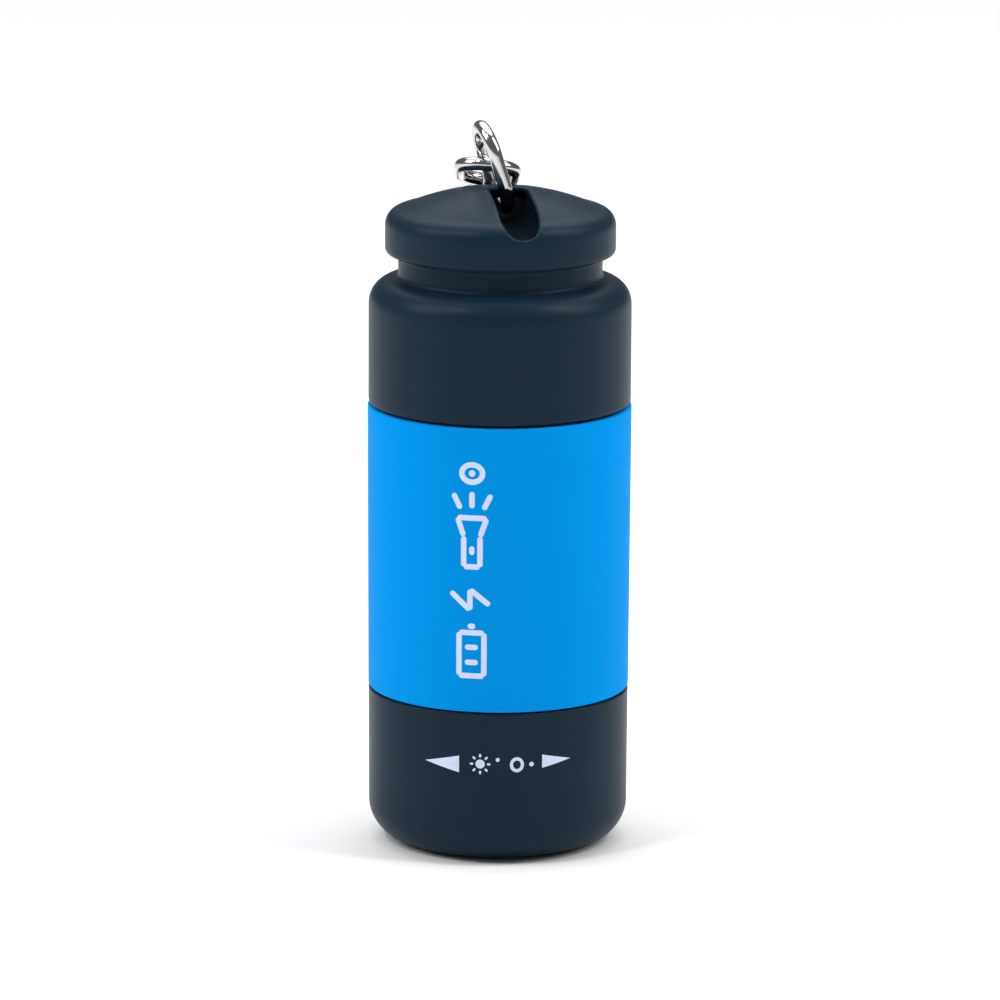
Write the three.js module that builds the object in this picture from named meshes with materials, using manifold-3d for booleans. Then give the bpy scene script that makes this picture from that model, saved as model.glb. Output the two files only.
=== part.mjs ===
// Keychain flashlight standing on its head: a lamp head that twists on the body to switch, a blue grip
// sleeve round a battery housing, and a screw-off tail cap that covers a USB plug and carries the key chain.
// Millimetres, +Z up. Heights are counted from the head's rim; the group is lowered so that the origin is
// the middle of the lens's outer face.
import * as THREE from "three";
import { mergeVertices } from "three/addons/utils/BufferGeometryUtils.js";
import Module from "manifold-3d";

const wasm = await Module();
wasm.setup();

// Overall sizes. The cap's length follows from the plug it covers.
const BODY_RADIUS = 11.98;
const HEAD_LENGTH = 14.3;
const SLEEVE_LENGTH = 26.2;
const NECK_LENGTH = 2.25;
const DOME_LENGTH = 6.05;
const SEAM = 0.15;
const HEAD_RIM_RADIUS = BODY_RADIUS - 0.11;
const HEAD_TOP_RADIUS = BODY_RADIUS - 0.05;
const SLEEVE_LOW_RADIUS = BODY_RADIUS - 0.03;
const SLEEVE_HIGH_RADIUS = BODY_RADIUS + 0.07;
const NECK_RADIUS = BODY_RADIUS - 2.68;
const DOME_RADIUS = BODY_RADIUS - 1.48;
const CROWN_RADIUS = 22.4;

// Rounded edges
const HEAD_FILLET = 3.6;
const SHOULDER_FILLET = 2.28;
const DOME_FILLET = 1.5;
const DOME_LOWER_FILLET = 0.5;

// Fits
const SNUG = 0.1;
const CLEAR = 0.2;
const THREAD_WALL = 1.48;
const THREAD_GAP = 0.9;
const THREAD_BORE = BODY_RADIUS - THREAD_WALL;
const SPIGOT_RADIUS = THREAD_BORE - THREAD_GAP;
const SPIGOT_WALL = 1.1;
const UPPER_SPIGOT = 3.3;
const LOWER_SPIGOT = 4.6;
const HOUSING_WALL = 2.2;
const SLEEVE_WALL = 1.15;

// Threads: two starts, right-handed
const STARTS = 2;
const LEAD = 3;
const RIDGE = 0.4;
const RIDGE_PROUD = 0.2;
const RIDGE_ARC = 0.42;
const RIDGE_SETBACK = 1;
const SEAL_WIRE = 0.3;
const SEAL_STANDOFF = 0.6;
const SEAL_TO_RIDGE = 0.85;

// Lamp
const LENS_RECESS = 0.8;
const LENS_THICK = 1;
const LENS_BORE = 7.6;
const GASKET_THICK = 0.5;
const SHELF_THICK = 0.5;
const SHELF_LIP = 0.8;
const REFLECTOR_LENGTH = 4;
const REFLECTOR_THROAT = 2.7;
const REFLECTOR_BORE = 8.9;
const BOWL_WALL = 0.6;
const BOARD_THICK = 1;
const LED_SIDE = 3.5;
const LED_BASE_THICK = 0.7;
const LED_DOME_RADIUS = 1.4;

// Battery and charging
const CELL_RADIUS = 5;
const CELL_LENGTH = 18;
const CELL_CAP_RADIUS = 1.6;
const CELL_CAP_LENGTH = 0.6;
const TAB_THICK = 0.2;
const TAB_WIDTH = 3;
const TAB_OVERHANG = 1;
const PAD_RADIUS = 2.2;
const PAD_THICK = 0.3;
const SPRING_WIRE = 0.2;
const SPRING_TURNS = 3;
const SPRING_LOW_RADIUS = 2.4;
const SPRING_HIGH_RADIUS = 1.1;
const WIRE_RADIUS = 0.5;
const WIRE_OFFSET = 1.6;
const WIRE_BOW = 1.08;
const WIRE_BEND_AT = 0.3;
const CHIP_SIDE = 3;
const CHIP_THICK = 0.9;
const CHIP_OFFSET = 4.6;
const LAMP_SIDE = 1.2;
const LAMP_THICK = 0.6;
const LAMP_SPACING = 3.4;
const RESISTOR = [1.6, 0.8, 0.5];
const RESISTOR_OFFSET = 4.2;
const RESISTOR_SPACINGS = [3.1, 4.5];

// USB plug
const PLUG_WIDTH = 12;
const PLUG_DEPTH = 4.5;
const PLUG_WALL = 0.35;
const PLUG_LENGTH = 11.75;
const PLUG_HEADROOM = 0.475;
const TONGUE_THICK = 1.9;
const TONGUE_SETBACK = 0.5;
const COLLAR_THICK = 1.4;
const COLLAR_PROUD = 0.2;
const CONTACT_WIDTH = 1;
const CONTACT_THICK = 0.15;
const CONTACT_LENGTH = 7.5;
const CONTACT_SETBACK = 0.6;
const CONTACT_OFFSETS = [-3.5, -1, 1, 3.5];
const DIMPLE_SIDE = 2.1;
const DIMPLE_OFFSET = 2.5;
const DIMPLE_FROM_TIP = 4;

// Chain links: ovals of round wire
const LINK_WIRE = 0.625;
const LINK_INNER = 1.85;
const LINK_BEND = LINK_INNER + LINK_WIRE;
const LINK_STRAIGHT = 2.8;

// Chain slot in the dome and the bridge across it
const LINK_TO_FLOOR = 0.3;
const LINK_TO_SIDE = 1.125;
const BRIDGE_RADIUS = 1.45;
const BRIDGE_RISE = 0.25;
const BRIDGE_TO_EDGE = 8.85;
const BRIDGE_SETBACK = DOME_RADIUS - BRIDGE_TO_EDGE;
const SLOT_HALF = LINK_WIRE + LINK_TO_SIDE;
const SLOT_DEPTH = LINK_INNER + 2 * LINK_WIRE + LINK_TO_FLOOR - BRIDGE_RISE;
const SLOT_TURN = THREE.MathUtils.degToRad(8.5);
const SLOT_OFFSET = 0.6;
const RUNOUT_SIDE = 1.9;
const RUNOUT_WIDTH = 1.6 * SLOT_HALF;
const RUNOUT_SETBACK = 0.2375;
const CAP_ROOF = 1.15;
const CAP_WALL = 1.7;
const SKIRT_STEP = 0.9;
const SHOULDER_WALL = 1.1;
const BORE_CLEARANCE = 1;

// How the chain and the key ring lie
const LINK_1_ROLL = THREE.MathUtils.degToRad(-17);
const LINK_1_TURN = THREE.MathUtils.degToRad(15);
const LINK_1_SIDE = -0.66;
const LINK_2_CLIMB = 0.95;
const LINK_2_GAP = 0.325;
const LINK_2_HOOK = LINK_BEND - 2 * LINK_WIRE - LINK_2_GAP;
const LINK_2_FALL = THREE.MathUtils.degToRad(20);
const LINK_2_TILT = THREE.MathUtils.degToRad(6);
const LINK_3_GAP = 0.125;
const LINK_3_SLACK = LINK_BEND - 2 * LINK_WIRE - LINK_3_GAP;
const LINK_3_SIDE = 0.35;
const LINK_3_FALL = THREE.MathUtils.degToRad(30);
const RING_WIRE = 0.5;
const RING_RADIUS = 6.9;
const RING_PITCH = 1.12;
const RING_TURNS = 1.97;
const RING_SLACK = 0.82;
const RING_DROP = 0.5;
const RING_TILT = THREE.MathUtils.degToRad(2.5);
const RING_STEP_ARC = 0.5;

// Facets
const ROUND = 48;
const FINE_ROUND = 32;
const SMALL_ROUND = 20;
const HEAD_FILLET_FACETS = 6;
const SHOULDER_FACETS = 5;
const DOME_LOWER_FACETS = 2;
const DOME_FACETS = 4;
const CROWN_FACETS = 5;
const BOWL_FACETS = 6;
const LED_FACETS = 5;
const SEAL_FACETS = 8;
const WIRE_FACETS = 6;
const RIDGE_STEPS = 14;
const WIRE_STEPS = 10;
const SPRING_STEPS = 48;
const SLOT_FACETS = 8;
const LINK_STEPS = 24;
const LINK_FACETS = 8;
const RING_STEPS = 72;

// How far a cutting shape runs past what it cuts
const OVERRUN = 1;
// Corners closer than this are one corner.
const WELD = 1e-4;

// Heights that follow from the sizes
const sleeveBase = HEAD_LENGTH + SEAM;
const sleeveTop = sleeveBase + SLEEVE_LENGTH;
const capBase = sleeveTop + SEAM;
const housingBase = sleeveBase + SEAM / 2;
const housingTop = sleeveTop - SEAM / 2;
const spigotBase = housingBase - LOWER_SPIGOT;
const spigotTop = housingTop + UPPER_SPIGOT;
const collarTop = spigotTop + COLLAR_PROUD;
const plugTop = collarTop + PLUG_LENGTH;
const cavityTop = plugTop + PLUG_HEADROOM;
const slotFloor = cavityTop + CAP_ROOF;
const crownTop = slotFloor + SLOT_DEPTH;
const domeBase = crownTop - DOME_LENGTH;
const shoulderTop = domeBase - NECK_LENGTH;
const spigotBore = SPIGOT_RADIUS - SPIGOT_WALL;
const housingRadius = SLEEVE_LOW_RADIUS - SLEEVE_WALL - CLEAR;

const root = new THREE.Group();
root.position.z = -LENS_RECESS;

const finishes = {
  plastic: { color: 0x202c3a, roughness: 0.55, metalness: 0 },
  blue: { color: 0x0191e7, roughness: 0.5, metalness: 0 },
  chrome: { color: 0xd8dade, roughness: 0.12, metalness: 1 },
  steel: { color: 0xb9bcc0, roughness: 0.3, metalness: 1 },
  brass: { color: 0xd0aa55, roughness: 0.28, metalness: 1 },
  rubber: { color: 0x17181a, roughness: 0.85, metalness: 0 },
  white: { color: 0xe4e2da, roughness: 0.5, metalness: 0 },
  board: { color: 0x1c6b3c, roughness: 0.55, metalness: 0 },
  mirror: { color: 0xdfe2e6, roughness: 0.06, metalness: 1 },
  clear: { color: 0xe6f0f4, roughness: 0.05, metalness: 0 },
  phosphor: { color: 0xf0d860, roughness: 0.3, metalness: 0 },
  wrap: { color: 0x2f7d5a, roughness: 0.45, metalness: 0 },
  red: { color: 0xb5201c, roughness: 0.5, metalness: 0 },
  black: { color: 0x1a1a1c, roughness: 0.5, metalness: 0 },
  chip: { color: 0x202124, roughness: 0.6, metalness: 0 },
};

/** A closed geometry as a manifold solid. */
function solid(geometry) {
  const bare = geometry.index ? geometry.toNonIndexed() : geometry.clone();
  bare.deleteAttribute("normal");
  bare.deleteAttribute("uv");
  const merged = mergeVertices(bare, WELD);
  return new wasm.Manifold(
    new wasm.Mesh({
      numProp: 3,
      vertProperties: merged.attributes.position.array,
      triVerts: new Uint32Array(merged.index.array),
    }),
  );
}

/** Adds a solid to the object as a named mesh. */
function place(name, shape, finish) {
  const mesh = shape.getMesh();
  const geometry = new THREE.BufferGeometry();
  geometry.setAttribute("position", new THREE.BufferAttribute(mesh.vertProperties, 3));
  geometry.setIndex(new THREE.BufferAttribute(mesh.triVerts, 1));
  geometry.computeVertexNormals();
  const piece = new THREE.Mesh(geometry, new THREE.MeshStandardMaterial(finishes[finish]));
  piece.name = name;
  root.add(piece);
}

/** Points (radius, height) on an arc from one angle to another, counted from the outward direction. */
function arc(radius, height, bend, from, to, steps) {
  const points = [];
  for (let i = 0; i <= steps; i++) {
    const a = from + ((to - from) * i) / steps;
    points.push([radius + bend * Math.cos(a), height + bend * Math.sin(a)]);
  }
  return points;
}

/** A closed outline of (radius, height) points turned about Z, with its faces outward. */
function turned(outline, facets = ROUND) {
  const points = outline.map(([r, z]) => new THREE.Vector2(Math.max(r, 0), z));
  if (THREE.ShapeUtils.area(points) < 0) points.reverse();
  points.push(points[0].clone());
  return solid(new THREE.LatheGeometry(points, facets).rotateX(Math.PI / 2));
}

/** A ring of rectangular section, or a disc where the inner radius is 0. */
function washer(inner, outer, low, high, facets = ROUND) {
  return turned([[inner, low], [outer, low], [outer, high], [inner, high]], facets);
}

/** A box of the given size with the middle of its base at a point. */
function block(width, depth, height, x, y, z) {
  const box = new THREE.BoxGeometry(width, depth, height);
  return solid(box.translate(x, y, z + height / 2));
}

/** A round wire along a curve, with a section of the given number of sides, in a frame. */
function wire(curve, radius, steps, sides, frame = new THREE.Matrix4()) {
  const section = new THREE.Shape();
  section.absarc(0, 0, radius, 0, 2 * Math.PI);
  const swept = new THREE.ExtrudeGeometry(section, { steps, curveSegments: sides / 2, extrudePath: curve });
  return solid(swept.applyMatrix4(frame));
}

/** A curve given by a function of t from 0 to 1. */
class Path extends THREE.Curve {
  constructor(point) {
    super();
    this.point = point;
  }
  getPoint(t) {
    return this.point(t);
  }
}

/** Two-start thread ridges on a helix of the given radius, starting at a height and an angle. */
function ridges(radius, low, start) {
  const turns = [];
  for (let k = 0; k < STARTS; k++) {
    const first = start + (2 * Math.PI * k) / STARTS;
    const helix = new Path((t) => {
      const a = first + 2 * Math.PI * RIDGE_ARC * t;
      return new THREE.Vector3(radius * Math.cos(a), radius * Math.sin(a), low + LEAD * RIDGE_ARC * t);
    });
    turns.push(wire(helix, RIDGE, RIDGE_STEPS, WIRE_FACETS));
  }
  return turns[0].add(turns[1]);
}

// Radii of the ridge centres: the outer thread stands on the spigot, the inner one in the bore.
const outerRidge = SPIGOT_RADIUS + RIDGE_PROUD;
const innerRidge = THREAD_BORE - RIDGE_PROUD;
// Half the distance between neighbouring ridges, which puts a bore's ridges midway between a spigot's.
const halfPitch = LEAD / STARTS / 2;
const sealRadius = (SPIGOT_RADIUS + THREAD_BORE) / 2;

// --- Lamp head: a deep cup with a shelf that the lens seats on from the front.
const gasketBase = LENS_RECESS + LENS_THICK + SNUG;
const shelfBase = gasketBase + GASKET_THICK + SNUG;
const shelfTop = shelfBase + SHELF_THICK;
const reflectorBase = shelfTop + SNUG;
const reflectorTop = reflectorBase + REFLECTOR_LENGTH;
const ledBoardBase = reflectorTop + SNUG;
const ledBoardTop = ledBoardBase + BOARD_THICK;
const threadFloor = ledBoardTop + CLEAR;
const lowerRidgeBase = spigotBase + RIDGE_SETBACK;

const headCup = turned([
  [LENS_BORE, 0],
  ...arc(HEAD_RIM_RADIUS - HEAD_FILLET, HEAD_FILLET, HEAD_FILLET, -Math.PI / 2, 0, HEAD_FILLET_FACETS),
  [HEAD_TOP_RADIUS, HEAD_LENGTH],
  [THREAD_BORE, HEAD_LENGTH],
  [THREAD_BORE, threadFloor],
  [REFLECTOR_BORE, threadFloor],
  [REFLECTOR_BORE, shelfTop],
  [LENS_BORE - SHELF_LIP, shelfTop],
  [LENS_BORE - SHELF_LIP, shelfBase],
  [LENS_BORE, shelfBase],
]);
const headRidges = ridges(innerRidge, lowerRidgeBase + halfPitch, 0);
place("head_bezel", headCup.add(headRidges), "plastic");
place("lens", washer(0, LENS_BORE - CLEAR, LENS_RECESS, LENS_RECESS + LENS_THICK), "clear");
place(
  "lens_gasket",
  washer(LENS_BORE - SHELF_LIP, LENS_BORE - CLEAR, gasketBase, gasketBase + GASKET_THICK, FINE_ROUND),
  "rubber",
);

// Reflector: a bright bowl, open at the front and at the throat where the diode looks in.
const bowlFront = LENS_BORE - SHELF_LIP;
const bowl = [];
const bowlBack = [];
for (let i = 0; i <= BOWL_FACETS; i++) {
  const t = i / BOWL_FACETS;
  const radius = REFLECTOR_THROAT + (bowlFront - REFLECTOR_THROAT) * Math.sqrt(1 - t);
  bowl.push([radius, reflectorBase + REFLECTOR_LENGTH * t]);
  bowlBack.unshift([radius + BOWL_WALL * (1 + t), reflectorBase + REFLECTOR_LENGTH * t]);
}
bowlBack[bowlBack.length - 1] = [REFLECTOR_BORE - CLEAR, reflectorBase];
bowlBack.splice(bowlBack.length - 1, 0, [REFLECTOR_BORE - CLEAR, reflectorBase + BOWL_WALL]);
place("reflector", turned([...bowl, ...bowlBack], FINE_ROUND), "mirror");

const ledBaseLow = ledBoardBase - SNUG - LED_BASE_THICK;
place("led_board", washer(0, REFLECTOR_BORE - CLEAR, ledBoardBase, ledBoardTop, FINE_ROUND), "white");
place("led_base", block(LED_SIDE, LED_SIDE, LED_BASE_THICK, 0, 0, ledBaseLow), "white");
place(
  "led_dome",
  turned(
    [[0, ledBaseLow - SNUG], ...arc(0, ledBaseLow - SNUG, LED_DOME_RADIUS, 0, -Math.PI / 2, LED_FACETS)],
    SMALL_ROUND,
  ),
  "phosphor",
);

// --- Body: the blue sleeve round the battery housing, whose ends are threaded spigots.
place(
  "grip_sleeve",
  turned([
    [SLEEVE_LOW_RADIUS - SLEEVE_WALL, sleeveBase],
    [SLEEVE_LOW_RADIUS, sleeveBase],
    [SLEEVE_HIGH_RADIUS, sleeveTop],
    [SLEEVE_LOW_RADIUS - SLEEVE_WALL, sleeveTop],
  ]),
  "blue",
);
const upperRidgeBase = housingTop + SEAL_STANDOFF + SEAL_TO_RIDGE;
const housing = turned([
  [spigotBore, spigotBase],
  [SPIGOT_RADIUS, spigotBase],
  [SPIGOT_RADIUS, housingBase],
  [housingRadius, housingBase],
  [housingRadius, housingTop],
  [SPIGOT_RADIUS, housingTop],
  [SPIGOT_RADIUS, spigotTop],
  [spigotBore, spigotTop],
  [spigotBore, housingTop - HOUSING_WALL],
  [housingRadius - HOUSING_WALL, housingTop - HOUSING_WALL],
  [housingRadius - HOUSING_WALL, housingBase + HOUSING_WALL],
  [spigotBore, housingBase + HOUSING_WALL],
]);
place(
  "battery_housing",
  housing
    .add(ridges(outerRidge, lowerRidgeBase, 0))
    .add(ridges(outerRidge, upperRidgeBase, 0)),
  "black",
);

/** An O-ring on a spigot. */
function seal(height) {
  const section = arc(sealRadius, height, SEAL_WIRE, 0, 2 * Math.PI, SEAL_FACETS);
  return turned(section.slice(1), FINE_ROUND);
}
place("head_seal", seal(housingBase - SEAL_STANDOFF), "rubber");
place("cap_seal", seal(housingTop + SEAL_STANDOFF), "rubber");

// Battery, with a welded tab on each end, between the contact board below and the charging board above.
const contactBoardBase = spigotBase + PAD_THICK + 2 * SNUG;
const contactBoardTop = contactBoardBase + BOARD_THICK;
const chargeBoardTop = housingTop;
const chargeBoardBase = chargeBoardTop - BOARD_THICK;
const cellMiddle = (contactBoardTop + chargeBoardBase) / 2;
const cellBase = cellMiddle - CELL_LENGTH / 2;
const cellTop = cellMiddle + CELL_LENGTH / 2;
const boardRadius = spigotBore - CLEAR;

place(
  "battery_cell",
  turned(
    [
      [0, cellBase],
      [CELL_RADIUS, cellBase],
      [CELL_RADIUS, cellTop],
      [CELL_CAP_RADIUS, cellTop],
      [CELL_CAP_RADIUS, cellTop + CELL_CAP_LENGTH],
      [0, cellTop + CELL_CAP_LENGTH],
    ],
    FINE_ROUND,
  ),
  "wrap",
);
const tabTop = cellTop + CELL_CAP_LENGTH + SNUG;
const tabReach = CELL_RADIUS + TAB_OVERHANG;
place(
  "battery_tab_positive",
  block(tabReach + TAB_WIDTH / 2, TAB_WIDTH, TAB_THICK, tabReach / 2 - TAB_WIDTH / 4, 0, tabTop),
  "steel",
);
const tabLow = cellBase - SNUG - TAB_THICK;
place(
  "battery_tab_negative",
  block(tabReach + TAB_WIDTH / 2, TAB_WIDTH, TAB_THICK, -tabReach / 2 + TAB_WIDTH / 4, 0, tabLow),
  "steel",
);

/** A short lead that bows out towards the housing between two heights. */
function lead(x, y, low, high) {
  const bow = new THREE.CatmullRomCurve3([
    new THREE.Vector3(x, y, low),
    new THREE.Vector3(x, y * WIRE_BOW, low + (high - low) * WIRE_BEND_AT),
    new THREE.Vector3(x, y * WIRE_BOW, high - (high - low) * WIRE_BEND_AT),
    new THREE.Vector3(x, y, high),
  ]);
  return wire(bow, WIRE_RADIUS, WIRE_STEPS, WIRE_FACETS);
}
const leadLow = contactBoardTop + SNUG;
const leadHigh = chargeBoardBase - SNUG;
const leadOut = (CELL_RADIUS + spigotBore) / 2;
place("lead_red", lead(WIRE_OFFSET, leadOut, leadLow, leadHigh), "red");
place("lead_black", lead(-WIRE_OFFSET, -leadOut, leadLow, leadHigh), "black");

place("contact_board", washer(0, boardRadius, contactBoardBase, contactBoardTop, FINE_ROUND), "board");
const padBase = contactBoardBase - SNUG - PAD_THICK;
place("contact_pad", washer(0, PAD_RADIUS, padBase, padBase + PAD_THICK, SMALL_ROUND), "brass");

// Conical spring on the lamp board: it meets the pad while the head is screwed home.
const springBase = ledBoardTop + SNUG + SPRING_WIRE;
const springTop = padBase - SNUG - SPRING_WIRE;
const springCurve = new Path((t) => {
  const a = 2 * Math.PI * SPRING_TURNS * t;
  const r = SPRING_LOW_RADIUS + (SPRING_HIGH_RADIUS - SPRING_LOW_RADIUS) * t;
  return new THREE.Vector3(r * Math.cos(a), r * Math.sin(a), springBase + (springTop - springBase) * t);
});
place("contact_spring", wire(springCurve, SPRING_WIRE, SPRING_STEPS, WIRE_FACETS), "brass");

// Charging board and what is soldered under it.
place("charge_board", washer(0, boardRadius, chargeBoardBase, chargeBoardTop, FINE_ROUND), "board");
const partsTop = chargeBoardBase - SNUG;
place(
  "charge_chip",
  block(CHIP_SIDE, CHIP_SIDE, CHIP_THICK, -CHIP_OFFSET, 0, partsTop - CHIP_THICK),
  "chip",
);
place(
  "charge_led",
  block(LAMP_SIDE, LAMP_SIDE, LAMP_THICK, -CHIP_OFFSET, -LAMP_SPACING, partsTop - LAMP_THICK),
  "red",
);
RESISTOR_SPACINGS.forEach((y, i) => {
  place(`resistor_${i + 1}`, block(...RESISTOR, -RESISTOR_OFFSET, y, partsTop - RESISTOR[2]), "chip");
});

// --- USB plug in its collar.
const plugBase = chargeBoardTop + SNUG;
const collarHole = block(
  PLUG_WIDTH + 2 * SNUG,
  PLUG_DEPTH + 2 * SNUG,
  COLLAR_THICK + 2 * OVERRUN,
  0,
  0,
  collarTop - COLLAR_THICK - OVERRUN,
);
place(
  "usb_collar",
  washer(0, spigotBore - SNUG, collarTop - COLLAR_THICK, collarTop).subtract(collarHole),
  "plastic",
);
const plugInner = [PLUG_WIDTH - 2 * PLUG_WALL, PLUG_DEPTH - 2 * PLUG_WALL];
const plugBore = block(...plugInner, plugTop - plugBase + 2 * OVERRUN, 0, 0, plugBase - OVERRUN);
let shell = block(PLUG_WIDTH, PLUG_DEPTH, plugTop - plugBase, 0, 0, plugBase).subtract(plugBore);
for (const side of [-1, 1]) {
  const hole = block(
    DIMPLE_SIDE,
    PLUG_DEPTH * 2,
    DIMPLE_SIDE,
    side * DIMPLE_OFFSET,
    0,
    plugTop - DIMPLE_FROM_TIP - DIMPLE_SIDE,
  );
  shell = shell.subtract(hole);
}
place("usb_shell", shell, "steel");
const tongueTop = plugTop - TONGUE_SETBACK;
const tongueBack = -PLUG_DEPTH / 2 + PLUG_WALL + SNUG;
const tongueMiddle = tongueBack + TONGUE_THICK / 2;
const tongueWidth = PLUG_WIDTH - 2 * PLUG_WALL - 2 * SNUG;
place(
  "usb_tongue",
  block(tongueWidth, TONGUE_THICK, tongueTop - plugBase, 0, tongueMiddle, plugBase),
  "white",
);
const contactMiddle = tongueBack + TONGUE_THICK + SNUG / 2 + CONTACT_THICK / 2;
CONTACT_OFFSETS.forEach((x, i) => {
  const low = tongueTop - CONTACT_LENGTH - CONTACT_SETBACK;
  const strip = block(CONTACT_WIDTH, CONTACT_THICK, CONTACT_LENGTH, x, contactMiddle, low);
  place(`usb_contact_${i + 1}`, strip, "brass");
});

// --- Tail cap: skirt, shoulder, neck and domed crown in one moulding, hollow over the plug.
const boreStep = spigotTop + BORE_CLEARANCE;
const skirtBore = NECK_RADIUS - SKIRT_STEP;
const cavityRadius = NECK_RADIUS - CAP_WALL;
const skirtBoreTop = shoulderTop - SHOULDER_WALL;
const domeEdge = DOME_RADIUS - DOME_FILLET;
const domeEdgeTop = crownTop - CROWN_RADIUS + Math.sqrt(CROWN_RADIUS ** 2 - domeEdge ** 2);
const crownLean = Math.asin(domeEdge / CROWN_RADIUS);
const crownFrom = Math.PI / 2 - crownLean;
const shoulderEdge = BODY_RADIUS - SHOULDER_FILLET;
const capOutline = [
  [0, cavityTop],
  [cavityRadius, cavityTop],
  [cavityRadius, skirtBoreTop],
  [skirtBore, skirtBoreTop],
  [skirtBore, boreStep],
  [THREAD_BORE, boreStep],
  [THREAD_BORE, capBase],
  [BODY_RADIUS, capBase],
  ...arc(shoulderEdge, shoulderTop - SHOULDER_FILLET, SHOULDER_FILLET, 0, Math.PI / 2, SHOULDER_FACETS),
  [NECK_RADIUS, shoulderTop],
  [NECK_RADIUS, domeBase],
  ...arc(
    DOME_RADIUS - DOME_LOWER_FILLET,
    domeBase + DOME_LOWER_FILLET,
    DOME_LOWER_FILLET,
    -Math.PI / 2,
    0,
    DOME_LOWER_FACETS,
  ),
  ...arc(domeEdge, domeEdgeTop - DOME_FILLET, DOME_FILLET, 0, crownFrom, DOME_FACETS),
  ...arc(0, crownTop - CROWN_RADIUS, CROWN_RADIUS, crownFrom, Math.PI / 2, CROWN_FACETS),
];

/** Moves a shape made across the cap's middle to the chain slot's own line. */
function alongSlot(geometry) {
  return geometry.rotateZ(SLOT_TURN).translate(SLOT_OFFSET, 0, 0);
}
const channelShape = new THREE.Shape();
channelShape.moveTo(-SLOT_HALF, crownTop + OVERRUN);
channelShape.lineTo(-SLOT_HALF, slotFloor + SLOT_HALF);
channelShape.absarc(0, slotFloor + SLOT_HALF, SLOT_HALF, Math.PI, 2 * Math.PI);
channelShape.lineTo(SLOT_HALF, crownTop + OVERRUN);
const channelSpan = 2 * (BODY_RADIUS + OVERRUN);
const channel = new THREE.ExtrudeGeometry(channelShape, {
  depth: channelSpan,
  bevelEnabled: false,
  curveSegments: SLOT_FACETS,
});
channel.rotateX(Math.PI / 2).translate(0, channelSpan / 2, 0);
const bridgeHeight = crownTop + BRIDGE_RISE;
const bridgeSpan = 2 * SLOT_HALF + OVERRUN;
const bridge = new THREE.CylinderGeometry(BRIDGE_RADIUS, BRIDGE_RADIUS, bridgeSpan, FINE_ROUND);
bridge.rotateZ(Math.PI / 2).translate(0, BRIDGE_SETBACK, bridgeHeight);
// The channel's floor slopes away at the back edge, where the chain runs out over it.
const runout = new THREE.BoxGeometry(RUNOUT_WIDTH, RUNOUT_SIDE, RUNOUT_SIDE);
runout.rotateX(Math.PI / 4).translate(0, DOME_RADIUS - RUNOUT_SETBACK, slotFloor);
const slotCut = solid(alongSlot(channel))
  .subtract(solid(alongSlot(bridge)))
  .add(solid(alongSlot(runout)));
const capBody = turned(capOutline);
place(
  "tail_cap",
  capBody.subtract(slotCut).add(ridges(innerRidge, upperRidgeBase + halfPitch, 0)),
  "plastic",
);

// --- Chain. A link is an oval ring, drawn upright in its own YZ plane with the middle of its lower bend
// at the origin, so that turning it there slides the bend along itself.
function oval() {
  const ring = new THREE.TorusGeometry(LINK_BEND, LINK_WIRE, LINK_FACETS, LINK_STEPS);
  ring.rotateZ(Math.PI / LINK_STEPS);
  const points = ring.attributes.position;
  for (let i = 0; i < points.count; i++) {
    if (points.getY(i) > 0) points.setY(i, points.getY(i) + LINK_STRAIGHT);
  }
  return ring.rotateX(Math.PI / 2).rotateZ(Math.PI / 2);
}

/** Adds a link turned by a matrix. */
function link(name, frame) {
  place(name, solid(oval().applyMatrix4(frame)), "chrome");
}

/** A frame from a turn about X, then Y, then Z, and a point. */
function frameAt(pitch, roll, turn, x, y, z) {
  const frame = new THREE.Matrix4().makeRotationFromEuler(new THREE.Euler(pitch, roll, turn, "ZYX"));
  return frame.setPosition(x, y, z);
}

// First link: upright round the bridge, leaning to the left.
const bridgeAxis = new THREE.Vector3(LINK_1_SIDE, BRIDGE_SETBACK, bridgeHeight);
bridgeAxis.applyAxisAngle(new THREE.Vector3(0, 0, 1), SLOT_TURN).add(new THREE.Vector3(SLOT_OFFSET, 0, 0));
const frame1 = frameAt(0, LINK_1_ROLL, LINK_1_TURN, ...bridgeAxis);
link("chain_link_1", frame1);

// Second link: hooked on the first one's back strand and fallen back on the crown.
const strand = new THREE.Vector3(0, LINK_BEND, LINK_2_CLIMB).applyMatrix4(frame1);
const along2 = new THREE.Vector3(0, Math.cos(LINK_2_FALL), -Math.sin(LINK_2_FALL));
const near2 = strand.clone().addScaledVector(along2, LINK_2_HOOK);
const frame2 = frameAt(-Math.PI / 2 - LINK_2_FALL, 0, 0, 0, 0, 0)
  .premultiply(new THREE.Matrix4().makeRotationY(LINK_2_TILT))
  .multiply(new THREE.Matrix4().makeRotationZ(Math.PI / 2));
frame2.setPosition(near2);
link("chain_link_2", frame2);

// Third link: on edge over the back rim of the slot, round the second one's far bend.
const far2 = new THREE.Vector3(0, 0, LINK_STRAIGHT + LINK_BEND).applyMatrix4(frame2);
const lift3 = new THREE.Vector3(0, Math.sin(LINK_3_FALL), Math.cos(LINK_3_FALL));
const near3 = far2.clone().addScaledVector(lift3, LINK_3_SLACK);
const frame3 = frameAt(-Math.PI / 2 - LINK_3_FALL, 0, 0, near3.x + LINK_3_SIDE, near3.y, near3.z);
link("chain_link_3", frame3);

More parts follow.
